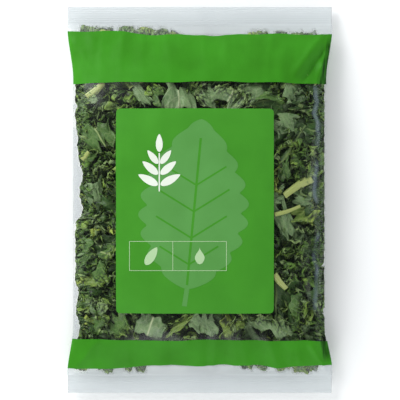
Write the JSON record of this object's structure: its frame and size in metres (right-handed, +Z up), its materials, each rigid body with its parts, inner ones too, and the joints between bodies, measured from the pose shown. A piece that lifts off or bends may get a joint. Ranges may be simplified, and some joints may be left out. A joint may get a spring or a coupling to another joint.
{
  "type": "bag of chopped kale",
  "caption": "Clear sealed pillow bag of chopped curly kale with green printed bands and a green front label, lying on its back.",
  "frame": {"origin": "under the middle of the bag, on the surface that it lies on", "axes": "+Z up through the front label, +Y along the bag towards its top seal, +X to the right as seen from above"},
  "size_m": [0.252, 0.366, 0.0504],
  "materials": {
    "clear_film": "clear glossy film with soft wrinkles",
    "band_ink": "glossy green ink on film",
    "label_ink": "glossy lighter green ink on film",
    "kale_leaf": "fresh curly leaf, waxy, dark green",
    "kale_stalk": "pale yellow-green stalk, moist cut ends"
  },
  "bodies": {
    "root": {"film_bag": "clear_film", "front_label": "label_ink", "kale_leaf_01": "kale_leaf", "kale_leaf_02": "kale_leaf", "kale_leaf_03": "kale_leaf", "kale_leaf_04": "kale_leaf", "kale_leaf_05": "kale_leaf", "kale_leaf_06": "kale_leaf", "kale_leaf_07": "kale_leaf", "kale_leaf_08": "kale_leaf", "kale_leaf_09": "kale_leaf", "kale_leaf_10": "kale_leaf", "kale_leaf_11": "kale_leaf", "kale_leaf_12": "kale_leaf", "kale_leaf_13": "kale_leaf", "kale_leaf_14": "kale_leaf", "kale_leaf_15": "kale_leaf", "kale_leaf_16": "kale_leaf", "kale_leaf_17": "kale_leaf", "kale_leaf_18": "kale_leaf", "kale_leaf_19": "kale_leaf", "kale_leaf_20": "kale_leaf", "kale_leaf_21": "kale_leaf", "kale_leaf_22": "kale_leaf", "kale_leaf_23": "kale_leaf", "kale_leaf_24": "kale_leaf", "kale_leaf_25": "kale_leaf", "kale_leaf_26": "kale_leaf", "kale_leaf_27": "kale_leaf", "kale_leaf_28": "kale_leaf", "kale_leaf_29": "kale_leaf", "kale_leaf_30": "kale_leaf", "kale_leaf_31": "kale_leaf", "kale_leaf_32": "kale_leaf", "kale_leaf_33": "kale_leaf", "kale_leaf_34": "kale_leaf", "kale_leaf_35": "kale_leaf", "kale_leaf_36": "kale_leaf", "kale_leaf_37": "kale_leaf", "kale_leaf_38": "kale_leaf", "kale_leaf_39": "kale_leaf", "kale_leaf_40": "kale_leaf", "kale_leaf_41": "kale_leaf", "kale_leaf_42": "kale_leaf", "kale_leaf_43": "kale_leaf", "kale_leaf_44": "kale_leaf", "kale_leaf_45": "kale_leaf", "kale_leaf_46": "kale_leaf", "kale_leaf_47": "kale_leaf", "kale_stalk_01": "kale_stalk", "kale_stalk_02": "kale_stalk", "kale_stalk_03": "kale_stalk", "kale_stalk_04": "kale_stalk", "kale_stalk_05": "kale_stalk", "kale_stalk_06": "kale_stalk", "kale_stalk_07": "kale_stalk", "printed_bottom_band": "band_ink", "printed_top_band": "band_ink"}
  },
  "joints": []
}
